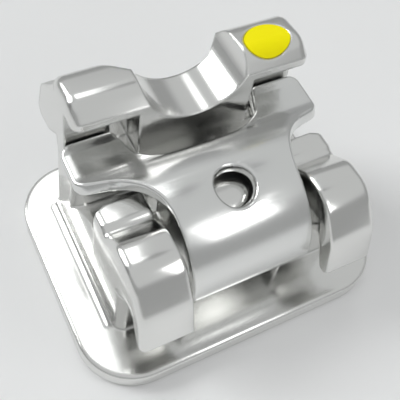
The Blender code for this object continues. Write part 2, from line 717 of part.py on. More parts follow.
def spring_clip():
    path = clip_path()
    lengths = lengths_along(path)
    clip = fold_sheet(clip_blank(path, lengths), path, lengths)
    clip.name = "spring_clip"
    return clip


def id_dot():
    """Enamel poured into the seat: a disc that follows the wing's top, a touch proud of it."""
    disc = dot_column("id_dot", 0)
    over = prism("dot top", "YZ", wing_outline(DOT_PROUD), 0, 2 * BLOCK_HALF_LENGTH)
    under = prism("dot floor", "YZ", wing_outline(DOT_GAP - DOT_THICKNESS), 0, 2 * BLOCK_HALF_LENGTH)
    disc = combine(disc, over, "INTERSECT")
    disc = combine(disc, under, "DIFFERENCE")
    disc.name = "id_dot"
    return disc


def material(name, colour, roughness, metallic):
    made = bpy.data.materials.new(name)
    made.use_nodes = True
    shader = made.node_tree.nodes["Principled BSDF"]
    shader.inputs["Base Color"].default_value = (*colour, 1.0)
    shader.inputs["Roughness"].default_value = roughness
    shader.inputs["Metallic"].default_value = metallic
    return made


def finish(obj, look, collection):
    """Bring a finished shape into metres and file it with its material."""
    obj.data.transform(Matrix.Scale(METRE_PER_MM, 4))
    obj.data.materials.clear()
    obj.data.materials.append(look)
    obj.data.shade_smooth()
    obj.data.set_sharp_from_angle(angle=SHARP)
    bpy.context.scene.collection.objects.unlink(obj)
    collection.objects.link(obj)


def main():
    clear_scene()
    bracket = bpy.data.collections.new("orthodontic_bracket")
    bpy.context.scene.collection.children.link(bracket)
    steel = material("polished steel", (0.72, 0.73, 0.72), 0.14, 1.0)
    spring = material("spring steel", (0.74, 0.75, 0.74), 0.16, 1.0)
    enamel = material("yellow enamel", (1.0, 0.87, 0.0), 0.35, 0.0)
    finish(bracket_body(), steel, bracket)
    finish(spring_clip(), spring, bracket)
    finish(id_dot(), enamel, bracket)


main()
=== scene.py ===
"""Looks for the self-ligating bracket: a polished moulded steel body with pegs
under its pad, a folded spring clip and a yellow enamel dot, on a pale floor with a
painted pool of light under the part, in soft studio light.

The pieces are modelled in millimetres in the part's own frame: +X along the
archwire, +Y gingival, +Z away from the tooth. Each is then turned into metres.
"""
from math import cos, degrees, pi, radians, sin, tan

import bmesh
import bpy
from mathutils import Matrix, Vector


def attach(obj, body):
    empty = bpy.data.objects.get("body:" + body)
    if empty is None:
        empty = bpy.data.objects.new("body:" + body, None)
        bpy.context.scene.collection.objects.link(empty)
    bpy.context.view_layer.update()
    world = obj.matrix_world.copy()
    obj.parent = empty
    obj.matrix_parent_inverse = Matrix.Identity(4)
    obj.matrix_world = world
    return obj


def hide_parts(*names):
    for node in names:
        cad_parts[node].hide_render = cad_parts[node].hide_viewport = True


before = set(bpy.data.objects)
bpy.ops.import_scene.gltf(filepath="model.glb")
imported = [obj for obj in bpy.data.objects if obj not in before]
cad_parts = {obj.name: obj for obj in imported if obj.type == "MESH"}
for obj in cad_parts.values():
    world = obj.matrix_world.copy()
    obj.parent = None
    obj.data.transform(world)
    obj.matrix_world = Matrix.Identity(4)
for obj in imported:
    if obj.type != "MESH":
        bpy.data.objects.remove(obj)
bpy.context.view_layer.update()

# Units, fineness of arcs, and the limits for welding, settling, flat faces and sharp edges
METRE_PER_MM = 0.001
ARC_STEP = radians(4)
WELD = 0.0005
SETTLE = 0.004
FLAT = radians(0.2)
SHARP = radians(40)

# Bonding pad
PAD_LENGTH = 3.57
PAD_OCCLUSAL = -1.45
PAD_GINGIVAL = 1.34
PAD_THICKNESS = 0.25
PAD_CORNER = 0.62
PAD_EDGE = 0.045
GRID_RIM = 0.16
GRID_PITCH = 0.34
GRID_GROOVE = 0.10
GRID_DEPTH = 0.07

# Base block
BLOCK_HALF_LENGTH = 1.366
BLOCK_OCCLUSAL = -0.88
BLOCK_GINGIVAL = 0.91
BLOCK_CORNER = 0.11
UNDERCUT_TOP = 1.0
SIDE_TAPER = 0.05
TAPER_ZONE = 0.166
RAIL_WIDTH = 0.144
RAIL_HEIGHT = 0.13
RAIL_OCCLUSAL = -0.78
RAIL_GINGIVAL = 0.84

# Archwire slot
SLOT_WIDTH = 0.46
SLOT_DEPTH = 0.71
SLOT_MIDDLE = 0.15
LEAD_LENGTH = 0.20
LEAD_DEPTH = 0.09
LEDGE_FALL = 0.09

# Gingival wings
WING_TOP = 2.29
WING_HALF_HEIGHT = 0.25
WING_REACH = 0.48
WING_EDGE = 0.11
LEDGE_LENGTH = 0.28
LIP_THICKNESS = 0.09
LIP_CORNER = 0.14
BEAK_BOTTOM = 1.30
BEAK_ROUNDING = 0.055
BEAK_ROOT = 0.20
HOOK_LENGTH = 0.31
HOOK_RISE = 0.03
HOOK_ROUNDING = 0.10
NOSE_LENGTH = 0.06
NOSE_HEIGHT = 0.10
NECK_LENGTH = 0.11
NECK_FALL = 0.49
NECK_ROUNDING = 0.30
SHOULDER_LENGTH = 0.46
SHOULDER_FALL = 0.04
SHOULDER_ROUNDING = 0.22
LIP_RUN = 0.17
LIP_ROUNDING = 0.25
LIP_ROOT_ROUNDING = 0.05
SADDLE_RADIUS = 0.57
SADDLE_ABOVE = 0.08

# Cuts in plan that part and trim the beaks, run from the notch's left end and the block's back
NOTCH_HALF_LENGTH = 0.77
NOTCH_FLOOR = 1.15
NOTCH_CORNER = 0.05
BEND_RUN = 1.37
BEND_DEPTH = 0.22
BEND_ROUNDING = 0.20
FLARE_RUN = 1.65
FLARE_DEPTH = 0.35
FLARE_ROUNDING = 0.10
NOTCH_MOUTH_RIGHT = 1.77
NOTCH_MOUTH_LEFT = 0.43
SLANT_RUN = 0.16
SLANT_DEPTH = 0.12
SLANT_ROUNDING = 0.12
SHAVE_START = 0.23
SHAVE_INSET = 0.18
SHAVE_ROUNDING = 0.03
SHAVE_MIDDLE = 0.333
SHAVE_END = 0.34
SHAVE_DEPTH = 0.3
SHAVE_MOUTH = 0.69
CORNER_CUT = 0.25
CORNER_MOUTH = 0.24
CORNER_DEPTH = 0.17
CORNER_ROUNDING = 0.35
CORNER_SIDE_CUT = 0.10
CORNER_SIDE_INSET = 0.16
CORNER_SIDE_ROUNDING = 0.20
CORNER_START = 0.31
LIP_CORNER_OVER = 0.01

# Central wall, and the crown the clip slides over
WALL_HALF_LENGTH = 0.62
CROWN_HALF_LENGTH = 0.60

# Occlusal claws
CLAW_INNER = 0.77
CLAW_EDGE = 0.074
CLAW_INNER_EDGE = 0.03
CLAW_TOP = 1.63
CLAW_FALL = 0.15
CLAW_TIP = 0.78
CLAW_REACH = 0.51
CLAW_ROUNDING = 0.085
STEP_BACK = 0.58
STEP_ROUNDING = 0.10
DIP_RUN = 0.07
DIP_FALL = 0.05
DIP_ROUNDING = 0.06
RAMP_RUN = 0.32
RAMP_ROUNDING = 0.20
BROW_BACK = 0.41
BROW_RISE = 0.01
BROW_ROUNDING = 0.35
CHEEK_BACK = 0.12
CHEEK_FALL = 0.38
CHEEK_ROUNDING = 0.50
CLAW_TIP_WIDTH = 0.14
CLAW_TIP_FALL = 0.03
THROAT_BACK = 0.27
THROAT_RISE = 0.20
THROAT_ROUNDING = 0.15
ROOT_BACK = 0.35
ROOT_RISE = 0.35
ROOT_ROUNDING = 0.08
ROOT_OVER = 0.02

# Spring clip, laid out flat from its labial tip to the end of its tail
SHEET = 0.14
SHEET_EDGE = 0.035
CLIP_CLEARANCE = 0.02
TAB_OVER = 0.01
TONGUE_HALF_LENGTH = 0.675
RETURN_HALF_LENGTH = 0.56
TAIL_HALF_LENGTH = 0.45
TAB_LEVEL = 1.505
TIP_SHORT = 0.025
TIP_LENGTH = 0.11
TIP_RISE = 0.045
CROWN_RADIUS = 0.75
CROWN_MIDDLE = -0.30
CROWN_TOP = 1.665
FOLD_RADIUS = 0.10
FOLD_LEVEL = 0.86
TAIL_START_Y = -0.62
TAIL_SHORT = 0.29
SLIDE_TILT = radians(16)
HOLE_Y = -0.47
HOLE_RADIUS = 0.205
TAB_TIP_LIFT = 0.015
CREASE_ROUNDING = 0.10
TAB_BEND = 0.25
FOLD_DROP = 0.36
FRONT_Y = 0.145
FRONT_ROUNDING = 0.5
DIP_HALF_LENGTH = 0.42
DIP_Y = 0.16
SCALLOP_HALF_LENGTH = 0.70
SCALLOP_Y = 0.33
SCALLOP_ROUNDING = 0.12
TAB_INNER = 0.80
TAB_INNER_ROUNDING = 0.08
TAB_CORNER = 0.13
TAB_BACK_Y = 0.11
TAB_BACK_ROUNDING = 0.16
NECK_Y = -0.10
NECK_BEND = 0.68
WAIST_CORNER = 0.10
WAIST_STEP = 0.03
STRIP_CORNER = 0.06
TAIL_CORNER = 0.10

# Enamel dot
DOT_INSET = 0.503
DOT_BACK = 0.270
DOT_HALF_LENGTH = 0.25
DOT_HALF_WIDTH = 0.194
DOT_THICKNESS = 0.05
DOT_PROUD = 0.008
DOT_GAP = 0.005

# Clearances and overlaps
CHANNEL_CLEARANCE = 0.03
CROWN_GAP = 0.10
EMBED = 0.10
CUT_OVER = 0.18
TOOL_OVER = 0.30


# Worked out from the sizes above
CROWN_CENTRE_Z = CROWN_TOP - CROWN_RADIUS
FOLD_Y = CROWN_MIDDLE - CROWN_RADIUS
SEAT_RADIUS = CROWN_RADIUS - SHEET / 2 - CROWN_GAP
LEDGE_TOP = TAB_LEVEL - SHEET / 2 - CLIP_CLEARANCE
SLOT_FLOOR = LEDGE_TOP + LEDGE_FALL - SLOT_DEPTH
SLOT_CUT_TOP = LEDGE_TOP + CUT_OVER
LIP_FRONT = SLOT_MIDDLE + SLOT_WIDTH / 2
LEDGE_BACK = LIP_FRONT + LEDGE_LENGTH
LIP_BOTTOM = WING_TOP - WING_HALF_HEIGHT
CLAW_STEP = CLAW_TOP - CLAW_FALL
TAB_HALF_LENGTH = BLOCK_HALF_LENGTH + TAB_OVER
TIP_Y = LEDGE_BACK - TIP_SHORT
CREASE_Y = TIP_Y - TIP_LENGTH
TAIL_END_Y = BLOCK_GINGIVAL - TAIL_SHORT
DOT_X = BLOCK_HALF_LENGTH - DOT_INSET
DOT_Y = LIP_FRONT + DOT_BACK
TAIL_HALF_DEPTH = SHEET / 2 / cos(SLIDE_TILT)
TAIL_END_Z = PAD_THICKNESS + CHANNEL_CLEARANCE + TAIL_HALF_DEPTH
TAIL_START_Z = TAIL_END_Z + (TAIL_END_Y - TAIL_START_Y) * tan(SLIDE_TILT)

# Finish of the shown pieces
CREASE = radians(28)
PEG_ROOT = 0.01
DOT_TILT = radians(18)
DOT_TURN = radians(7.7)

# Colours, with the roughness of the steels and the width of their rubbed edges in metres
BODY_STEEL = ((0.80, 0.80, 0.785), 0.16, 0.00004)
SPRING_STEEL = ((0.81, 0.815, 0.805), 0.21, 0.00001)
STEEL_DIMMING = 0.95
YELLOW = (1.0, 0.87, 0.0, 1.0)
BRIGHT_YELLOW = (1.0, 0.91, 0.0, 1.0)
# The two floor colours are painted light: white for the painted pool of light under the part, grey for
# painted shade far from it
LIT_POOL_FLOOR_COLOUR = (0.87, 0.87, 0.87, 1.0)
PAINTED_SHADE_FLOOR_COLOUR = (0.6, 0.6, 0.6, 1.0)
AIR_COLOUR = (0.985, 1.0, 1.0, 1.0)

# Grain of the finishes: waves to the metre, relief in metres
STEEL_CLOUDS = 1400.0
STEEL_PITS = 16000.0
PIT_SHARE = 0.5
STEEL_RELIEF = 0.000004
STEEL_UNEVENNESS = 0.06
ENAMEL_CLOUDS = 6000.0
ENAMEL_RELIEF = 0.000003
ENAMEL_UNEVENNESS = 0.1
BUMP_STRENGTH = 0.10

# Studio, in millimetres and degrees
FLOOR_HALF = 60.0
FLOOR_DROP = 0.001
# Radii where the floor's painted pool of light starts to fade and where its painted shade is full
LIGHT_POOL_RADIUS = 7.0
PAINTED_SHADE_RADIUS = 26.0
LOW_WALL, HIGH_WALL = 0.38, 0.62
WALL_CHANGES = (24, 40)
# Each panel: compass from and to (0 is +Y, 90 is +X), height from and to, soft edge, strength
PANELS = [
    ((27, 60), (63, 74), 3, 0.34),
    ((-84, -66), (6, 36), 4, 0.22),
    ((-70, -50), (47, 62), 4, 0.32),
    ((-2, 18), (54, 72), 2, 2.4),
    ((10, 29), (66, 73), 2, 2.4),
    ((-62, -34), (20, 48), 2, 8.5),
]
# Cards close to the part: middle, what it faces, width and height, strength
CARDS = {
    "front card": ((0.8, -2.67, 3.5), (0.0, -0.7, 1.4), (1.6, 1.7), 2.2),
}

# Camera, fitted to the photograph's view, in millimetres; its clipping distances are in metres
TURN, LIFT, ROLL = radians(-37.0), radians(57.023), radians(12.2)
AWAY, ASIDE, ABOVE = 7.997, 0.073, 0.388
FOCAL_PIXELS, FRAME_PIXELS = 667.334, 400
SENSOR = 36.0
NEAREST, FARTHEST = 0.0002, 1.0


# Tools that the shapes share

def rounded(corners, closed=True):
    """Points along an outline; a corner (u, v, radius) becomes an arc that its edges leave room for."""
    count = len(corners)
    spots = [Vector(corner[:2]) for corner in corners]
    halves = []
    reaches = []
    for index, corner in enumerate(corners):
        ends = not closed and index in (0, count - 1)
        before = spots[index - 1] - spots[index]
        after = spots[(index + 1) % count] - spots[index]
        halves.append(before.angle(after) / 2)
        reaches.append(0.0 if ends or len(corner) < 3 else corner[2] / tan(halves[-1]))
    points = []
    for index, spot in enumerate(spots):
        if reaches[index] == 0.0:
            points.append(spot)
            continue
        before = spots[index - 1] - spot
        after = spots[(index + 1) % count] - spot
        room_before = before.length / max(before.length, reaches[index] + reaches[index - 1])
        room_after = after.length / max(after.length, reaches[index] + reaches[(index + 1) % count])
        reach = reaches[index] * min(room_before, room_after)
        half = halves[index]
        middle = spot + (before.normalized() + after.normalized()).normalized() * reach / cos(half)
        start = spot + before.normalized() * reach - middle
        turn = (pi - 2 * half) * (1 if before.cross(after) < 0 else -1)
        steps = max(2, round(abs(turn) / ARC_STEP))
        for step in range(steps + 1):
            angle = turn * step / steps
            spun = Vector((start.x * cos(angle) - start.y * sin(angle),
                           start.x * sin(angle) + start.y * cos(angle)))
            points.append(middle + spun)
    return [point for index, point in enumerate(points)
            if index == 0 or (point - points[index - 1]).length > 2 * WELD]


def to_mesh(obj, flat=False):
    """Turn a curve, or a mesh with modifiers, into a plain welded mesh."""
    graph = bpy.context.evaluated_depsgraph_get()
    mesh = bpy.data.meshes.new_from_object(obj.evaluated_get(graph))
    mesh.transform(obj.matrix_world)
    name = obj.name
    bpy.data.objects.remove(obj, do_unlink=True)
    edit = bmesh.new()
    edit.from_mesh(mesh)
    bmesh.ops.remove_doubles(edit, verts=edit.verts, dist=WELD)
    bmesh.ops.dissolve_degenerate(edit, dist=WELD, edges=edit.edges)
    if flat:
        bmesh.ops.dissolve_limit(edit, angle_limit=FLAT, verts=edit.verts, edges=edit.edges)
    bmesh.ops.recalc_face_normals(edit, faces=edit.faces)
    edit.to_mesh(mesh)
    edit.free()
    made = bpy.data.objects.new(name, mesh)
    bpy.context.scene.collection.objects.link(made)
    return made


PLANES = {
    "XY": Matrix(((1, 0, 0, 0), (0, 1, 0, 0), (0, 0, 1, 0), (0, 0, 0, 1))),
    "YZ": Matrix(((0, 0, 1, 0), (1, 0, 0, 0), (0, 1, 0, 0), (0, 0, 0, 1))),
    "XZ": Matrix(((1, 0, 0, 0), (0, 0, -1, 0), (0, 1, 0, 0), (0, 0, 0, 1))),
}


def prism(name, plane, corners, low, high):
    """A flat outline in the plane, extruded from low to high across it."""
    curve = bpy.data.curves.new(name, "CURVE")
    curve.dimensions = "2D"
    curve.fill_mode = "BOTH"
    curve.extrude = (high - low) / 2
    points = rounded(corners)
    spline = curve.splines.new("POLY")
    spline.points.add(len(points) - 1)
    for target, point in zip(spline.points, points):
        target.co = (point.x, point.y, 0, 1)
    spline.use_cyclic_u = True
    obj = bpy.data.objects.new(name, curve)
    bpy.context.scene.collection.objects.link(obj)
    middle = (low + high) / 2
    obj.matrix_world = PLANES[plane] @ Matrix.Translation((0, 0, middle if plane != "XZ" else -middle))
    bpy.context.view_layer.update()
    return to_mesh(obj, True)


def cylinder(name, radius, depth, matrix, sides=96):
    """A round bar along the matrix's Z axis."""
    mesh = bpy.data.meshes.new(name)
    edit = bmesh.new()
    bmesh.ops.create_cone(edit, cap_ends=True, segments=sides, radius1=radius, radius2=radius,
                          depth=depth, matrix=matrix)
    edit.to_mesh(mesh)
    edit.free()
    obj = bpy.data.objects.new(name, mesh)
    bpy.context.scene.collection.objects.link(obj)
    return obj


def combine(target, other, operation):
    """Apply an exact Boolean and remove the second shape."""
    boolean = target.modifiers.new(operation, "BOOLEAN")
    boolean.operation = operation
    boolean.solver = "EXACT"
    boolean.object = other
    bpy.context.view_layer.update()
    made = to_mesh(target)
    bpy.data.objects.remove(other, do_unlink=True)
    return made


def soften(obj, width, segments, chosen):
    """Round the sharp edges whose middle is chosen."""
    edit = bmesh.new()
    edit.from_mesh(obj.data)
    layers = edit.edges.layers.float
    weights = layers.get("bevel_weight_edge") or layers.new("bevel_weight_edge")
    for edge in edit.edges:
        middle = (edge.verts[0].co + edge.verts[1].co) / 2
        edge[weights] = float(edge.calc_face_angle(0) > SHARP and chosen(middle))
    edit.to_mesh(obj.data)
    edit.free()
    bevel = obj.modifiers.new("Rounding", "BEVEL")
    bevel.width = width
    bevel.segments = segments
    bevel.limit_method = "WEIGHT"
    bevel.use_clamp_overlap = False
    bpy.context.view_layer.update()
    return to_mesh(obj)


def lead_in(name, side):
    """The flared mouth of the slot, cut into one end of the block."""
    mesh = bpy.data.meshes.new(name)
    edit = bmesh.new()
    bmesh.ops.create_cube(edit, size=2.0)
    inner = BLOCK_HALF_LENGTH - LEAD_LENGTH
    outer = BLOCK_HALF_LENGTH + LEAD_LENGTH
    for vert in edit.verts:
        flare = 0.0 if vert.co.x < 0 else LEAD_DEPTH * (outer - inner) / LEAD_LENGTH
        half = SLOT_WIDTH / 2 + flare
        vert.co.y = SLOT_MIDDLE + (half if vert.co.y > 0 else -half)
        vert.co.z = SLOT_CUT_TOP if vert.co.z > 0 else SLOT_FLOOR - flare
        vert.co.x = side * (inner if vert.co.x < 0 else outer)
    edit.normal_update()
    bmesh.ops.recalc_face_normals(edit, faces=edit.faces)
    edit.to_mesh(mesh)
    edit.free()
    obj = bpy.data.objects.new(name, mesh)
    bpy.context.scene.collection.objects.link(obj)
    return obj


# The moulded body

def pad_outline(inset):
    """The pad in plan, with its corners, drawn in by the inset."""
    half = PAD_LENGTH / 2 - inset
    low = PAD_OCCLUSAL + inset
    high = PAD_GINGIVAL - inset
    corner = PAD_CORNER - inset
    return [(-half, low, corner), (half, low, corner), (half, high, corner), (-half, high, corner)]


def pad():
    """The bonding pad, its underside recessed for the pegs."""
    plate = soften(prism("pad", "XY", pad_outline(0), 0, PAD_THICKNESS), PAD_EDGE, 4,
                   lambda spot: True)
    recess = prism("recess", "XY", pad_outline(GRID_RIM), -GRID_DEPTH, GRID_DEPTH)
    return combine(plate, recess, "DIFFERENCE")


def rail(side):
    """The concave fillet between the block's side and the pad, cut off square at both ends."""
    foot = BLOCK_HALF_LENGTH + RAIL_WIDTH
    wall = BLOCK_HALF_LENGTH - RAIL_WIDTH
    top = PAD_THICKNESS + RAIL_HEIGHT
    low = PAD_THICKNESS - EMBED
    outline = [(wall, low), (foot, low), (foot, PAD_THICKNESS),
               (BLOCK_HALF_LENGTH, PAD_THICKNESS, RAIL_HEIGHT * 0.9), (BLOCK_HALF_LENGTH, top), (wall, top)]
    if side < 0:
        outline = [(-point[0], *point[1:]) for point in reversed(outline)]
    return prism("rail", "XZ", outline, RAIL_OCCLUSAL, RAIL_GINGIVAL)


def block(name, occlusal, gingival, low, high):
    """A storey of the base block, with its upright corners rounded."""
    half = BLOCK_HALF_LENGTH
    first = BLOCK_CORNER if occlusal == BLOCK_OCCLUSAL else 0.0
    outline = [(-half, occlusal, first), (half, occlusal, first),
               (half, gingival, BLOCK_CORNER), (-half, gingival, BLOCK_CORNER)]
    return prism(name, "XY", [point if point[2] else point[:2] for point in outline], low, high)


def wing_outline(rise=0.0):
    """The wings seen from the side: ledge, hooked beak, rounded top and front lip."""
    beak = BLOCK_GINGIVAL + WING_REACH
    return [(LEDGE_BACK, LEDGE_TOP - EMBED), (BLOCK_GINGIVAL - EMBED, LEDGE_TOP - EMBED),
            (BLOCK_GINGIVAL - EMBED / 2, BEAK_BOTTOM + BEAK_ROOT),
            (beak - HOOK_LENGTH, BEAK_BOTTOM + HOOK_RISE, HOOK_ROUNDING),
            (beak - NOSE_LENGTH, BEAK_BOTTOM, BEAK_ROUNDING),
            (beak, BEAK_BOTTOM + NOSE_HEIGHT, BEAK_ROUNDING),
            (beak - NECK_LENGTH, WING_TOP - NECK_FALL, NECK_ROUNDING),
            (beak - SHOULDER_LENGTH, WING_TOP - SHOULDER_FALL + rise, SHOULDER_ROUNDING),
            (LIP_FRONT + LIP_RUN, WING_TOP + rise, LIP_ROUNDING),
            (LIP_FRONT - rise, LIP_BOTTOM + LIP_THICKNESS), (LIP_FRONT - rise, LIP_BOTTOM),
            (LEDGE_BACK, LIP_BOTTOM, LIP_ROOT_ROUNDING)]


def gingival_wings():
    """One beaked section the length of the block; the saddle later parts it into two wings."""
    wings = prism("wings", "YZ", wing_outline(), -BLOCK_HALF_LENGTH, BLOCK_HALF_LENGTH)
    shoulder = BLOCK_GINGIVAL + WING_REACH / 2
    return soften(wings, WING_EDGE, 6, lambda spot: abs(spot.x) > BLOCK_HALF_LENGTH - TAPER_ZONE
                  and spot.z > LIP_BOTTOM + LIP_THICKNESS / 2 and spot.y < shoulder)


def claw(side):
    """An occlusal tie claw: a low front bulge, a step, then the long hooked beak."""
    tip = BLOCK_OCCLUSAL - CLAW_REACH
    step = BLOCK_OCCLUSAL + STEP_BACK
    outline = [(SLOT_MIDDLE, UNDERCUT_TOP - EMBED), (SLOT_MIDDLE, CLAW_STEP),
               (step, CLAW_STEP, STEP_ROUNDING),
               (step - DIP_RUN, CLAW_STEP - DIP_FALL, DIP_ROUNDING),
               (step - RAMP_RUN, CLAW_TOP, RAMP_ROUNDING),
               (tip + BROW_BACK, CLAW_TOP + BROW_RISE, BROW_ROUNDING),
               (tip + CHEEK_BACK, CLAW_TOP - CHEEK_FALL, CHEEK_ROUNDING),
               (tip, CLAW_TIP, CLAW_ROUNDING),
               (tip + CLAW_TIP_WIDTH, CLAW_TIP - CLAW_TIP_FALL, CLAW_ROUNDING),
               (tip + THROAT_BACK, CLAW_TIP + THROAT_RISE, THROAT_ROUNDING),
               (tip + ROOT_BACK, CLAW_TIP + ROOT_RISE, ROOT_ROUNDING),
               (BLOCK_OCCLUSAL + EMBED, UNDERCUT_TOP + ROOT_OVER),
               (BLOCK_OCCLUSAL + EMBED, UNDERCUT_TOP - EMBED)]
    low = CLAW_INNER if side > 0 else -BLOCK_HALF_LENGTH
    high = BLOCK_HALF_LENGTH if side > 0 else -CLAW_INNER
    shape = prism("claw", "YZ", outline, low, high)
    shape = soften(shape, CLAW_EDGE, 5, lambda spot: abs(spot.x) > BLOCK_HALF_LENGTH - TAPER_ZONE)
    return soften(shape, CLAW_INNER_EDGE, 4, lambda spot: abs(spot.x) < CLAW_INNER + WELD)


def crown():
    """The rounded rise under the clip, over which the clip slides."""
    outline = [(SLOT_MIDDLE, UNDERCUT_TOP - EMBED), (SLOT_MIDDLE, CROWN_CENTRE_Z + SEAT_RADIUS),
               (BLOCK_OCCLUSAL, CROWN_CENTRE_Z + SEAT_RADIUS, SEAT_RADIUS),
               (BLOCK_OCCLUSAL, UNDERCUT_TOP - EMBED)]
    return prism("crown", "YZ", outline, -CROWN_HALF_LENGTH, CROWN_HALF_LENGTH)


def taper_sides(obj):
    """Lean the two end faces inwards, as they leave the mould."""
    for vert in obj.data.vertices:
        if abs(vert.co.x) > BLOCK_HALF_LENGTH - TAPER_ZONE:
            lean = SIDE_TAPER * (vert.co.z - PAD_THICKNESS)
            vert.co.x -= lean if vert.co.x > 0 else -lean


def central_wall():
    """The wall under the saddle, flush with the lips and the slot's side."""
    inner = LIP_FRONT + EMBED
    back = BLOCK_GINGIVAL - EMBED / 2
    low = LEDGE_TOP - TOOL_OVER
    outline = [(LIP_FRONT, LEDGE_TOP), (inner, low), (back, low), (back, LIP_BOTTOM + EMBED / 2),
               (inner, LIP_BOTTOM + EMBED / 2), (LIP_FRONT, LIP_BOTTOM)]
    return prism("wall", "YZ", outline, -WALL_HALF_LENGTH, WALL_HALF_LENGTH)


def saddle():
    """The round hollow between the two gingival wings."""
    middle = Vector((0, BLOCK_GINGIVAL, WING_TOP + SADDLE_ABOVE))
    matrix = Matrix.Translation(middle) @ Matrix.Rotation(pi / 2, 4, "X")
    return cylinder("saddle", SADDLE_RADIUS, 2 * (WING_REACH + BLOCK_GINGIVAL), matrix, 150)


def wing_notch():
    """The plan cut behind the saddle, which parts the beaks of the two wings."""
    back = BLOCK_GINGIVAL
    far = back + WING_REACH + TOOL_OVER
    left = -NOTCH_HALF_LENGTH
    outline = [(left, back), (left + NOTCH_FLOOR, back, NOTCH_CORNER),
               (left + BEND_RUN, back + BEND_DEPTH, BEND_ROUNDING),
               (left + FLARE_RUN, back + FLARE_DEPTH, FLARE_ROUNDING),
               (left + NOTCH_MOUTH_RIGHT, far), (left - NOTCH_MOUTH_LEFT, far),
               (left - SLANT_RUN, back + SLANT_DEPTH, SLANT_ROUNDING)]
    return prism("notch", "XY", outline, UNDERCUT_TOP, WING_TOP + TOOL_OVER)


def wing_shave():
    """The slanting cut across the left wing's inner gingival corner."""
    back = BLOCK_GINGIVAL
    left = -NOTCH_HALF_LENGTH
    outline = [(left + SHAVE_START, back - SHAVE_INSET, SHAVE_ROUNDING),
               (left + SHAVE_MIDDLE, back),
               (left + SHAVE_END, back + SHAVE_DEPTH), (left - NOTCH_MOUTH_LEFT, back + SHAVE_MOUTH),
               (left - SLANT_RUN, back + SLANT_DEPTH, SLANT_ROUNDING)]
    return prism("shave", "XY", outline, LEDGE_TOP + 2 * EMBED, WING_TOP + TOOL_OVER)


def wing_corner():
    """The rounding of the right wing's outer gingival corner, in plan."""
    outer = BLOCK_HALF_LENGTH + EMBED
    back = BLOCK_GINGIVAL
    far = back + WING_REACH + TOOL_OVER
    cut = BLOCK_HALF_LENGTH - CORNER_CUT
    outline = [(outer, back - CORNER_START), (outer, far), (cut - CORNER_MOUTH, far),
               (cut, back + CORNER_DEPTH, CORNER_ROUNDING),
               (BLOCK_HALF_LENGTH - CORNER_SIDE_CUT, back - CORNER_SIDE_INSET, CORNER_SIDE_ROUNDING)]
    trim = prism("wing corner", "XY", outline, UNDERCUT_TOP, WING_TOP + TOOL_OVER)
    kept = [(0, 0), (outer + EMBED, 0), (outer + EMBED, back + WELD), (0, back + WELD)]
    return combine(trim, prism("kept block corner", "XY", kept, 0, LEDGE_TOP + EMBED), "DIFFERENCE")


def lip_corner(side):
    """The slanting cut across a wing's outer front corner."""
    outer = BLOCK_HALF_LENGTH * side
    inner = (BLOCK_HALF_LENGTH - LIP_CORNER) * side
    front = LIP_FRONT - TOOL_OVER
    outline = [(inner, LIP_FRONT - LIP_CORNER_OVER), (inner, front), (outer, front),
               (outer, LIP_FRONT + LIP_CORNER)]
    return prism("lip corner", "XY", outline, LIP_BOTTOM - EMBED, WING_TOP + EMBED)


def tail_point(y):
    """Height of the tail's middle at y."""
    return TAIL_START_Z - (y - TAIL_START_Y) * tan(SLIDE_TILT)


def tail_channel():
    """The straight passage through the block in which the clip's tail slides."""
    across = TAIL_HALF_DEPTH + CHANNEL_CLEARANCE
    start = TAIL_START_Y - EMBED / 2
    end = TAIL_END_Y + 2 * CHANNEL_CLEARANCE
    half = TAIL_HALF_LENGTH + CHANNEL_CLEARANCE
    outline = [(start, tail_point(start) - across), (end, tail_point(end) - across),
               (end, tail_point(end) + across), (start, tail_point(start) + across)]
    return prism("channel", "YZ", outline, -half, half)


def return_pocket():
    """The opening under the crown into which the clip folds back."""
    slope = (FOLD_LEVEL - TAIL_START_Z) / (TAIL_START_Y - FOLD_Y)
    across = (SHEET / 2 + CHANNEL_CLEARANCE) * (1 + slope ** 2) ** 0.5
    front = BLOCK_OCCLUSAL - EMBED
    back = TAIL_START_Y + CHANNEL_CLEARANCE
    outline = [(front, PAD_THICKNESS), (back, PAD_THICKNESS),
               (back, TAIL_START_Z + slope * (TAIL_START_Y - back) + across),
               (front, TAIL_START_Z + slope * (TAIL_START_Y - front) + across)]
    return prism("pocket", "YZ", outline, -WALL_HALF_LENGTH, WALL_HALF_LENGTH)


def dot_column(name, gap):
    """A leaning oval column at the dot, from below its seat to above the wing."""
    low = LIP_BOTTOM + LIP_THICKNESS / 2
    high = WING_TOP + EMBED
    place = Matrix.Translation((DOT_X, DOT_Y, (low + high) / 2))
    lean = Matrix.Rotation(DOT_TURN, 4, "Z") @ Matrix.Rotation(DOT_TILT, 4, "X")
    oval = Matrix.Diagonal((DOT_HALF_LENGTH + gap, DOT_HALF_WIDTH + gap, 1, 1))
    return cylinder(name, 1, high - low, place @ lean @ oval)


def slot():
    """The archwire slot, through the whole length of the body."""
    side = SLOT_WIDTH / 2
    outline = [(SLOT_MIDDLE - side, SLOT_FLOOR), (SLOT_MIDDLE + side, SLOT_FLOOR),
               (SLOT_MIDDLE + side, SLOT_CUT_TOP), (SLOT_MIDDLE - side, SLOT_CUT_TOP)]
    return prism("slot", "YZ", outline, -2 * BLOCK_HALF_LENGTH, 2 * BLOCK_HALF_LENGTH)


def dot_seat():
    """The seat's floor follows the wing's rounded top."""
    under = prism("seat floor", "YZ", wing_outline(-DOT_THICKNESS), 0, 2 * BLOCK_HALF_LENGTH)
    column = dot_column("seat", DOT_GAP)
    return combine(column, under, "DIFFERENCE")


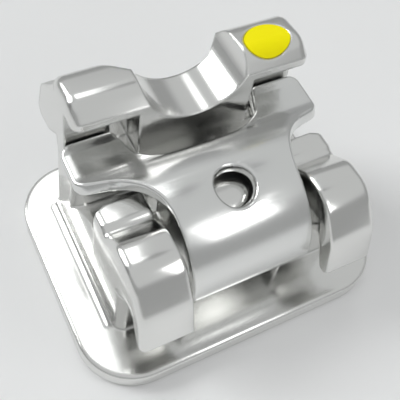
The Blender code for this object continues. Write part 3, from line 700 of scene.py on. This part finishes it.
def bracket_body():
    """The moulded body: storeys, wings and claws joined, then cut, then set on its pad."""
    body = block("body", BLOCK_OCCLUSAL, BLOCK_GINGIVAL, PAD_THICKNESS - EMBED, UNDERCUT_TOP)
    upper = block("upper", SLOT_MIDDLE - EMBED / 2, BLOCK_GINGIVAL, UNDERCUT_TOP - EMBED, LEDGE_TOP)
    for piece in (upper, gingival_wings(), claw(-1), claw(1)):
        body = combine(body, piece, "UNION")
    taper_sides(body)
    body = combine(body, crown(), "UNION")
    for cut in (slot(), lead_in("lead", -1), lead_in("lead", 1)):
        body = combine(body, cut, "DIFFERENCE")
    body = combine(body, central_wall(), "UNION")
    for cut in (saddle(), wing_notch(), wing_shave(), wing_corner(), lip_corner(-1), lip_corner(1),
                dot_seat(), return_pocket(), tail_channel()):
        body = combine(body, cut, "DIFFERENCE")
    for piece in (rail(-1), rail(1), pad()):
        body = combine(body, piece, "UNION")
    body.name = "bracket_body"
    return body


# The spring clip and the dot

def clip_path():
    """The sheet's middle line, seen from the side, from the labial tip to the tail's end."""
    turn = pi / 6
    leave_y = CROWN_MIDDLE + CROWN_RADIUS * sin(turn)
    leave_z = CROWN_CENTRE_Z + CROWN_RADIUS * cos(turn)
    tab_y = leave_y + (leave_z - TAB_LEVEL) / tan(turn)
    corners = [(TIP_Y, TAB_LEVEL + TIP_RISE + TAB_TIP_LIFT),
               (CREASE_Y, TAB_LEVEL + TAB_TIP_LIFT, CREASE_ROUNDING), (tab_y, TAB_LEVEL, TAB_BEND),
               (FOLD_Y, leave_z + (leave_y - FOLD_Y) * tan(turn), CROWN_RADIUS),
               (FOLD_Y, FOLD_LEVEL, FOLD_RADIUS), (TAIL_START_Y, TAIL_START_Z),
               (TAIL_END_Y, tail_point(TAIL_END_Y))]
    return rounded(corners, closed=False)


def lengths_along(path):
    """The distance along the path to each of its points."""
    lengths = [0.0]
    for before, after in zip(path, path[1:]):
        lengths.append(lengths[-1] + (after - before).length)
    return lengths


def flat_place(path, lengths, y):
    """How far along the flat sheet the labial side crosses y."""
    for index, (before, after) in enumerate(zip(path, path[1:])):
        if after.x <= y <= before.x:
            share = (before.x - y) / (before.x - after.x)
            return lengths[index] + share * (lengths[index + 1] - lengths[index])
    raise ValueError("the sheet does not reach that place")


def clip_blank(path, lengths):
    """The sheet cut out flat: x across, y along, rounded on all its edges."""
    fold = lengths[-1] - (path[-1] - Vector((TAIL_START_Y, TAIL_START_Z))).length
    waist = fold - FOLD_DROP
    half = [(0.0, flat_place(path, lengths, FRONT_Y), FRONT_ROUNDING),
            (DIP_HALF_LENGTH, flat_place(path, lengths, DIP_Y), FRONT_ROUNDING),
            (SCALLOP_HALF_LENGTH, flat_place(path, lengths, SCALLOP_Y), SCALLOP_ROUNDING),
            (TAB_INNER, 0.0, TAB_INNER_ROUNDING), (TAB_HALF_LENGTH, 0.0, TAB_CORNER),
            (TAB_HALF_LENGTH, flat_place(path, lengths, TAB_BACK_Y), TAB_BACK_ROUNDING),
            (TONGUE_HALF_LENGTH, flat_place(path, lengths, NECK_Y), NECK_BEND),
            (TONGUE_HALF_LENGTH, waist - WAIST_CORNER, WAIST_CORNER),
            (RETURN_HALF_LENGTH, waist + WAIST_STEP, STRIP_CORNER),
            (RETURN_HALF_LENGTH, fold - STRIP_CORNER, STRIP_CORNER), (TAIL_HALF_LENGTH, fold, STRIP_CORNER),
            (TAIL_HALF_LENGTH, lengths[-1], TAIL_CORNER)]
    outline = half + [(-point[0], *point[1:]) for point in reversed(half[1:])]
    blank = prism("clip", "XY", outline, -SHEET / 2, SHEET / 2)
    place = Matrix.Translation((0, flat_place(path, lengths, HOLE_Y), 0))
    blank = combine(blank, cylinder("hole", HOLE_RADIUS, 3 * SHEET, place), "DIFFERENCE")
    return soften(blank, SHEET_EDGE, 4, lambda spot: True)


def fold_sheet(obj, path, lengths):
    """Crease the flat blank at each point of the path and carry it onto the path."""
    edit = bmesh.new()
    edit.from_mesh(obj.data)
    for place in lengths[1:-1]:
        for vert in edit.verts:
            if abs(vert.co.y - place) < SETTLE:
                vert.co.y = place
        everything = edit.verts[:] + edit.edges[:] + edit.faces[:]
        bmesh.ops.bisect_plane(edit, geom=everything, dist=WELD / 10, plane_co=(0, place, 0),
                               plane_no=(0, 1, 0))
    ways = [(after - before).normalized() for before, after in zip(path, path[1:])]
    for vert in edit.verts:
        place = vert.co.y
        index = 0
        while index < len(ways) - 1 and place > lengths[index + 1] + WELD:
            index += 1
        outward = Vector((-ways[index].y, ways[index].x))
        if abs(place - lengths[index + 1]) <= WELD and index + 1 < len(ways):
            outward = (outward + Vector((-ways[index + 1].y, ways[index + 1].x))) / 2
            outward /= outward.length_squared
        spot = path[index] + ways[index] * (place - lengths[index]) + outward * vert.co.z
        vert.co = Vector((vert.co.x, spot.x, spot.y))
    bmesh.ops.remove_doubles(edit, verts=edit.verts, dist=WELD)
    bmesh.ops.dissolve_degenerate(edit, dist=WELD, edges=edit.edges)
    bmesh.ops.triangulate(edit, faces=edit.faces)
    bmesh.ops.recalc_face_normals(edit, faces=edit.faces)
    edit.to_mesh(obj.data)
    edit.free()
    return obj


def spring_clip():
    """The stamped strip, cut out flat and then folded."""
    path = clip_path()
    lengths = lengths_along(path)
    clip = fold_sheet(clip_blank(path, lengths), path, lengths)
    clip.name = "spring_clip"
    return clip


def id_dot():
    """Enamel poured into the seat: a disc that follows the wing's top, a touch proud of it."""
    disc = dot_column("id_dot", 0)
    over = prism("dot top", "YZ", wing_outline(DOT_PROUD), 0, 2 * BLOCK_HALF_LENGTH)
    under = prism("dot floor", "YZ", wing_outline(DOT_GAP - DOT_THICKNESS), 0, 2 * BLOCK_HALF_LENGTH)
    disc = combine(disc, over, "INTERSECT")
    disc = combine(disc, under, "DIFFERENCE")
    disc.name = "id_dot"
    return disc


# Finishes

class Value:
    """A shader socket that can be used in sums."""

    def __init__(self, tree, socket):
        self.tree = tree
        self.socket = socket

    def maths(self, operation, *values):
        node = self.tree.nodes.new("ShaderNodeMath")
        node.operation = operation
        for place, value in zip(node.inputs, values):
            plug(self.tree, place, value)
        return Value(self.tree, node.outputs[0])

    def __add__(self, other):
        return self.maths("ADD", self, other)

    def __radd__(self, other):
        return self.maths("ADD", other, self)

    def __sub__(self, other):
        return self.maths("SUBTRACT", self, other)

    def __rsub__(self, other):
        return self.maths("SUBTRACT", other, self)

    def __mul__(self, other):
        return self.maths("MULTIPLY", self, other)

    def __rmul__(self, other):
        return self.maths("MULTIPLY", other, self)


def plug(tree, place, value):
    """Link a value into a socket, or set the socket."""
    if isinstance(value, Value):
        tree.links.new(value.socket, place)
    else:
        place.default_value = value


class Looks:
    """The nodes of a material or of the studio's world, made one call at a time."""

    def __init__(self, owner):
        owner.use_nodes = True
        self.owner = owner
        self.tree = owner.node_tree

    def node(self, kind, settings=None, sockets=None, output=0):
        node = self.tree.nodes.new("ShaderNode" + kind)
        for name, value in (settings or {}).items():
            setattr(node, name, value)
        for name, value in (sockets or {}).items():
            plug(self.tree, node.inputs[name], value)
        return Value(self.tree, node.outputs[output])

    def blend(self, amount, first, second):
        """Mix of two colours; sockets 6 and 7 are the colours of a colour Mix node."""
        return self.node("Mix", {"data_type": "RGBA"}, {0: amount, 6: first, 7: second}, 2)

    def ramp(self, value, low, high, start=0.0, end=1.0):
        """A smooth change from start to end while the value goes from low to high."""
        return self.node("MapRange", {"interpolation_type": "SMOOTHSTEP"},
                         {"Value": value, "From Min": low, "From Max": high, "To Min": start, "To Max": end})

    def give(self, **sockets):
        shader = self.tree.nodes["Principled BSDF"]
        for name, value in sockets.items():
            plug(self.tree, shader.inputs[name.replace("_", " ")], value)
        return self.owner


def polished_steel(name, shade, roughness, edge):
    """Tumbled and polished steel: faint clouds, fine pits and softly rubbed edges."""
    look = Looks(bpy.data.materials.new(name))
    place = look.node("TexCoord", output="Object")
    cloud = look.node("TexNoise", sockets={"Vector": place, "Scale": STEEL_CLOUDS, "Detail": 3.0})
    pits = look.node("TexNoise", sockets={"Vector": place, "Scale": STEEL_PITS, "Detail": 2.0})
    dim = tuple(part * STEEL_DIMMING for part in shade)
    colour = look.blend(cloud, (*dim, 1.0), (*shade, 1.0))
    rubbed = look.node("Bevel", {"samples": 6}, {"Radius": edge})
    relief = look.node("Bump", sockets={"Strength": BUMP_STRENGTH, "Distance": STEEL_RELIEF,
                                        "Height": pits * PIT_SHARE + cloud, "Normal": rubbed})
    uneven = cloud * STEEL_UNEVENNESS + (roughness - STEEL_UNEVENNESS / 2)
    return look.give(Base_Color=colour, Metallic=1.0, Roughness=uneven, Normal=relief)


def enamel(name):
    """Satin enamel with faint unevenness."""
    look = Looks(bpy.data.materials.new(name))
    place = look.node("TexCoord", output="Object")
    cloud = look.node("TexNoise", sockets={"Vector": place, "Scale": ENAMEL_CLOUDS, "Detail": 2.0})
    colour = look.blend(cloud, YELLOW, BRIGHT_YELLOW)
    relief = look.node("Bump", sockets={"Strength": BUMP_STRENGTH, "Distance": ENAMEL_RELIEF,
                                        "Height": cloud})
    return look.give(Base_Color=colour, Roughness=cloud * ENAMEL_UNEVENNESS + 0.45,
                     Specular_IOR_Level=0.15, Normal=relief)


# The pieces

def plain_piece(obj, name):
    """The object as its modifiers leave it, in a new object with a plain mesh."""
    bpy.context.view_layer.update()
    graph = bpy.context.evaluated_depsgraph_get()
    mesh = bpy.data.meshes.new_from_object(obj.evaluated_get(graph))
    bpy.data.objects.remove(obj, do_unlink=True)
    piece = bpy.data.objects.new(name, mesh)
    bpy.context.scene.collection.objects.link(piece)
    return piece


def into_metres(obj, name, look):
    """Finish a piece: metres, smooth faces with sharp creases, even shading, material."""
    obj.data.transform(Matrix.Scale(METRE_PER_MM, 4))
    obj.data.materials.clear()
    obj.data.materials.append(look)
    obj.data.shade_smooth()
    obj.data.set_sharp_from_angle(angle=CREASE)
    obj.modifiers.new("Even shading", "WEIGHTED_NORMAL").keep_sharp = True
    return plain_piece(obj, name)


def peg_tree(look):
    """Geometry Nodes that set a grid of square pegs under the pad."""
    tree = bpy.data.node_groups.new("pad pegs", "GeometryNodeTree")
    face = tree.interface
    sizes = {}
    for name, kind in (("Columns", "NodeSocketInt"), ("Rows", "NodeSocketInt"), ("Pitch", "NodeSocketFloat"),
                       ("Peg Width", "NodeSocketFloat"), ("Peg Height", "NodeSocketFloat")):
        sizes[name] = face.new_socket(name=name, in_out="INPUT", socket_type=kind).identifier
    face.new_socket(name="Geometry", in_out="OUTPUT", socket_type="NodeSocketGeometry")
    given = tree.nodes.new("NodeGroupInput")

    def add(kind, sockets, **settings):
        node = tree.nodes.new(kind)
        for name, value in settings.items():
            setattr(node, name, value)
        for name, value in sockets.items():
            if isinstance(value, bpy.types.NodeSocket):
                tree.links.new(value, node.inputs[name])
            else:
                node.inputs[name].default_value = value
        return node.outputs[0]

    def span(count):
        gaps = add("ShaderNodeMath", {0: given.outputs[count], 1: 1.0}, operation="SUBTRACT")
        return add("ShaderNodeMath", {0: gaps, 1: given.outputs["Pitch"]}, operation="MULTIPLY")

    grid = add("GeometryNodeMeshGrid", {"Size X": span("Columns"), "Size Y": span("Rows"),
                                        "Vertices X": given.outputs["Columns"],
                                        "Vertices Y": given.outputs["Rows"]})
    size = add("ShaderNodeCombineXYZ", {"X": given.outputs["Peg Width"], "Y": given.outputs["Peg Width"],
                                        "Z": given.outputs["Peg Height"]})
    peg = add("GeometryNodeMeshCube", {"Size": size})
    middle = add("ShaderNodeMath", {0: given.outputs["Peg Height"], 1: 0.5}, operation="MULTIPLY")
    lift = add("ShaderNodeCombineXYZ", {"Z": middle})
    raised = add("GeometryNodeTransform", {"Geometry": peg, "Translation": lift})
    spread = add("GeometryNodeInstanceOnPoints", {"Points": grid, "Instance": raised})
    whole = add("GeometryNodeRealizeInstances", {"Geometry": spread})
    steel = add("GeometryNodeSetMaterial", {"Geometry": whole, "Material": look})
    leave = tree.nodes.new("NodeGroupOutput")
    tree.links.new(steel, leave.inputs["Geometry"])
    return tree, sizes


def pad_pegs(look):
    """The pegs that hold the bonding cement, in metres."""
    columns = int((PAD_LENGTH / 2 - PAD_CORNER / 2 - GRID_RIM) / GRID_PITCH)
    rows = int((PAD_GINGIVAL - PAD_CORNER / 2 - GRID_RIM) / GRID_PITCH)
    tree, sizes = peg_tree(look)
    holder = bpy.data.objects.new("pegs", bpy.data.meshes.new("pegs"))
    bpy.context.scene.collection.objects.link(holder)
    pattern = holder.modifiers.new("Pegs", "NODES")
    pattern.node_group = tree
    pattern[sizes["Columns"]] = 2 * columns + 1
    pattern[sizes["Rows"]] = 2 * rows + 1
    pattern[sizes["Pitch"]] = GRID_PITCH * METRE_PER_MM
    pattern[sizes["Peg Width"]] = (GRID_PITCH - GRID_GROOVE) * METRE_PER_MM
    pattern[sizes["Peg Height"]] = (GRID_DEPTH + PEG_ROOT) * METRE_PER_MM
    return plain_piece(holder, "pad_pegs")


# The studio

def stage_floor():
    """A pale table top with a painted pool of light: white under the part, fading to painted shade far from
    it.
    """
    mesh = bpy.data.meshes.new("floor")
    edit = bmesh.new()
    bmesh.ops.create_grid(edit, x_segments=1, y_segments=1, size=FLOOR_HALF)
    bmesh.ops.translate(edit, verts=edit.verts, vec=(0, 0, -FLOOR_DROP))
    bmesh.ops.scale(edit, verts=edit.verts, vec=(METRE_PER_MM, METRE_PER_MM, METRE_PER_MM))
    edit.to_mesh(mesh)
    edit.free()
    floor = bpy.data.objects.new("floor", mesh)
    bpy.context.scene.collection.objects.link(floor)
    look = Looks(bpy.data.materials.new("pale floor with painted light pool"))
    place = look.node("TexCoord", output="Object")
    away = look.node("VectorMath", {"operation": "LENGTH"}, {0: place}, "Value")
    # Painted light: the floor is white near the part and fades to painted shade further out
    painted_light_falloff = look.ramp(away, LIGHT_POOL_RADIUS * METRE_PER_MM, PAINTED_SHADE_RADIUS * METRE_PER_MM)
    colour = look.blend(painted_light_falloff, LIT_POOL_FLOOR_COLOUR, PAINTED_SHADE_FLOOR_COLOUR)
    floor.data.materials.append(look.give(Base_Color=colour, Roughness=0.95, Specular_IOR_Level=0.0))


def camera():
    """The photograph's view, as turn, lift and roll, with the part off the middle of the frame."""
    away = Vector((sin(TURN) * cos(LIFT), -cos(TURN) * cos(LIFT), sin(LIFT)))
    level = Vector((cos(TURN), sin(TURN), 0))
    upright = away.cross(level)
    right = level * cos(ROLL) + upright * sin(ROLL)
    up = upright * cos(ROLL) - level * sin(ROLL)
    eye = bpy.data.objects.new("camera", bpy.data.cameras.new("camera"))
    spot = (away * AWAY + right * ASIDE + up * ABOVE) * METRE_PER_MM
    eye.matrix_world = Matrix.Translation(spot) @ Matrix((right, up, away)).transposed().to_4x4()
    eye.data.sensor_width = SENSOR
    eye.data.lens = FOCAL_PIXELS / FRAME_PIXELS * SENSOR
    eye.data.clip_start = NEAREST
    eye.data.clip_end = FARTHEST
    bpy.context.scene.collection.objects.link(eye)
    bpy.context.scene.camera = eye


def white_card(name, spot, target, size, strength):
    """A lit rectangle that shows only in what it lights."""
    lamp = bpy.data.lights.new(name, "AREA")
    lamp.shape = "RECTANGLE"
    lamp.size, lamp.size_y = (side * METRE_PER_MM for side in size)
    lamp.energy = strength * pi * lamp.size * lamp.size_y
    card = bpy.data.objects.new(name, lamp)
    facing = (target - spot).to_track_quat("-Z", "Y").to_matrix().to_4x4()
    card.matrix_world = Matrix.Translation(spot * METRE_PER_MM) @ facing
    card.visible_camera = False
    bpy.context.scene.collection.objects.link(card)


def studio_light():
    """White and grey panels all round, placed by compass and height in degrees."""
    world = bpy.data.worlds.new("studio")
    bpy.context.scene.world = world
    look = Looks(world)
    way = look.node("TexCoord", output="Generated")
    parts = look.node("SeparateXYZ", sockets={0: way}).socket.node
    x, y, z = (Value(look.tree, socket) for socket in parts.outputs)
    height = z.maths("ARCSINE", z) * degrees(1)
    compass = x.maths("ARCTAN2", x, y) * degrees(1)
    light = look.ramp(height, *WALL_CHANGES, LOW_WALL, HIGH_WALL)
    for (west, east), (low, high), edge, strength in PANELS:
        past_west = look.ramp(compass, west - edge, west + edge)
        before_east = look.ramp(compass, east - edge, east + edge, 1, 0)
        above_low = look.ramp(height, low - edge, low + edge)
        below_high = look.ramp(height, high - edge, high + edge, 1, 0)
        mask = past_west * before_east * (above_low * below_high)
        light = mask * strength + (1 - mask) * light
    background = look.tree.nodes["Background"]
    background.inputs["Color"].default_value = AIR_COLOUR
    plug(look.tree, background.inputs["Strength"], light)
    for name, (spot, target, size, strength) in CARDS.items():
        white_card(name, Vector(spot), Vector(target), size, strength)


def main():
    steel = polished_steel("polished steel", *BODY_STEEL)
    spring = polished_steel("spring steel", *SPRING_STEEL)
    body = into_metres(bracket_body(), "moulded_body", steel)
    clip = into_metres(spring_clip(), "folded_spring_clip", spring)
    dot = into_metres(id_dot(), "enamel_dot", enamel("yellow enamel"))
    pegs = pad_pegs(steel)
    for piece, node, owner, slot_name in ((body, "bracket_body", "bracket", "body_steel"),
                                          (clip, "spring_clip", "clip", "spring_steel"),
                                          (dot, "id_dot", "bracket", "yellow_enamel"),
                                          (pegs, None, "bracket", "body_steel")):
        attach(piece, owner)
        if node:
            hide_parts(node)
    stage_floor()
    studio_light()
    camera()
    bpy.context.scene.view_settings.view_transform = "Standard"


main()
